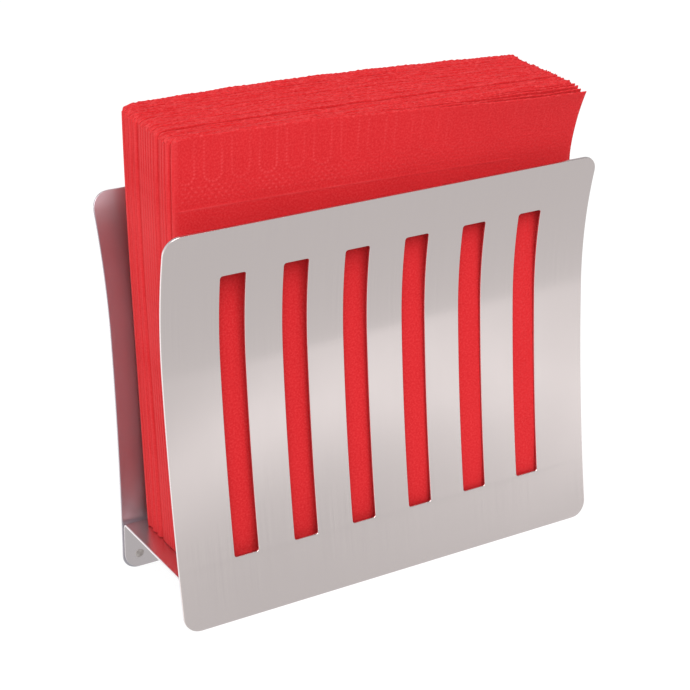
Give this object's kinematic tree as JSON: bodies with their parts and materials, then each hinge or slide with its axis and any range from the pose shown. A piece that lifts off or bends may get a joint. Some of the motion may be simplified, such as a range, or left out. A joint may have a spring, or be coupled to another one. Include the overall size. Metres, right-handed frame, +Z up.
{
  "type": "upright napkin dispenser",
  "caption": "Upright table napkin dispenser: two bowed, slotted sheet-steel panels spot-welded to a raised folded tray, holding a standing stack of folded paper napkins.",
  "frame": {"origin": "middle of the footprint, on the surface that the panels' lower edges stand on", "axes": "+X to the right along the panels as seen from the front, +Y from the front panel to the rear panel, +Z up"},
  "size_m": [0.18, 0.0656, 0.1867],
  "materials": {
    "brushed_sheet_steel": "satin",
    "weld_steel": "satin",
    "napkin_tissue": "matte"
  },
  "bodies": {
    "holder": {"front_panel": "brushed_sheet_steel", "rear_panel": "brushed_sheet_steel", "base_tray": "brushed_sheet_steel", "front_spot_welds": "weld_steel", "rear_spot_welds": "weld_steel"},
    "napkin_01": {"napkin_01": "napkin_tissue"},
    "napkin_02": {"napkin_02": "napkin_tissue"},
    "napkin_03": {"napkin_03": "napkin_tissue"},
    "napkin_04": {"napkin_04": "napkin_tissue"},
    "napkin_05": {"napkin_05": "napkin_tissue"},
    "napkin_06": {"napkin_06": "napkin_tissue"},
    "napkin_07": {"napkin_07": "napkin_tissue"},
    "napkin_08": {"napkin_08": "napkin_tissue"},
    "napkin_09": {"napkin_09": "napkin_tissue"},
    "napkin_10": {"napkin_10": "napkin_tissue"},
    "napkin_11": {"napkin_11": "napkin_tissue"},
    "napkin_12": {"napkin_12": "napkin_tissue"},
    "napkin_13": {"napkin_13": "napkin_tissue"},
    "napkin_14": {"napkin_14": "napkin_tissue"},
    "napkin_15": {"napkin_15": "napkin_tissue"},
    "napkin_16": {"napkin_16": "napkin_tissue"},
    "napkin_17": {"napkin_17": "napkin_tissue"},
    "napkin_18": {"napkin_18": "napkin_tissue"},
    "napkin_19": {"napkin_19": "napkin_tissue"},
    "napkin_20": {"napkin_20": "napkin_tissue"}
  },
  "joints": [
    {"name": "napkin_01_lift", "type": "slide", "parent": "holder", "child": "napkin_01", "axis": [0, 0, 1], "range_m": [0, 0.17]},
    {"name": "napkin_02_lift", "type": "slide", "parent": "holder", "child": "napkin_02", "axis": [0, 0, 1], "range_m": [0, 0.17]},
    {"name": "napkin_03_lift", "type": "slide", "parent": "holder", "child": "napkin_03", "axis": [0, 0, 1], "range_m": [0, 0.17]},
    {"name": "napkin_04_lift", "type": "slide", "parent": "holder", "child": "napkin_04", "axis": [0, 0, 1], "range_m": [0, 0.17]},
    {"name": "napkin_05_lift", "type": "slide", "parent": "holder", "child": "napkin_05", "axis": [0, 0, 1], "range_m": [0, 0.17]},
    {"name": "napkin_06_lift", "type": "slide", "parent": "holder", "child": "napkin_06", "axis": [0, 0, 1], "range_m": [0, 0.17]},
    {"name": "napkin_07_lift", "type": "slide", "parent": "holder", "child": "napkin_07", "axis": [0, 0, 1], "range_m": [0, 0.17]},
    {"name": "napkin_08_lift", "type": "slide", "parent": "holder", "child": "napkin_08", "axis": [0, 0, 1], "range_m": [0, 0.17]},
    {"name": "napkin_09_lift", "type": "slide", "parent": "holder", "child": "napkin_09", "axis": [0, 0, 1], "range_m": [0, 0.17]},
    {"name": "napkin_10_lift", "type": "slide", "parent": "holder", "child": "napkin_10", "axis": [0, 0, 1], "range_m": [0, 0.17]},
    {"name": "napkin_11_lift", "type": "slide", "parent": "holder", "child": "napkin_11", "axis": [0, 0, 1], "range_m": [0, 0.17]},
    {"name": "napkin_12_lift", "type": "slide", "parent": "holder", "child": "napkin_12", "axis": [0, 0, 1], "range_m": [0, 0.17]},
    {"name": "napkin_13_lift", "type": "slide", "parent": "holder", "child": "napkin_13", "axis": [0, 0, 1], "range_m": [0, 0.17]},
    {"name": "napkin_14_lift", "type": "slide", "parent": "holder", "child": "napkin_14", "axis": [0, 0, 1], "range_m": [0, 0.17]},
    {"name": "napkin_15_lift", "type": "slide", "parent": "holder", "child": "napkin_15", "axis": [0, 0, 1], "range_m": [0, 0.17]},
    {"name": "napkin_16_lift", "type": "slide", "parent": "holder", "child": "napkin_16", "axis": [0, 0, 1], "range_m": [0, 0.17]},
    {"name": "napkin_17_lift", "type": "slide", "parent": "holder", "child": "napkin_17", "axis": [0, 0, 1], "range_m": [0, 0.17]},
    {"name": "napkin_18_lift", "type": "slide", "parent": "holder", "child": "napkin_18", "axis": [0, 0, 1], "range_m": [0, 0.17]},
    {"name": "napkin_19_lift", "type": "slide", "parent": "holder", "child": "napkin_19", "axis": [0, 0, 1], "range_m": [0, 0.17]},
    {"name": "napkin_20_lift", "type": "slide", "parent": "holder", "child": "napkin_20", "axis": [0, 0, 1], "range_m": [0, 0.17]}
  ]
}
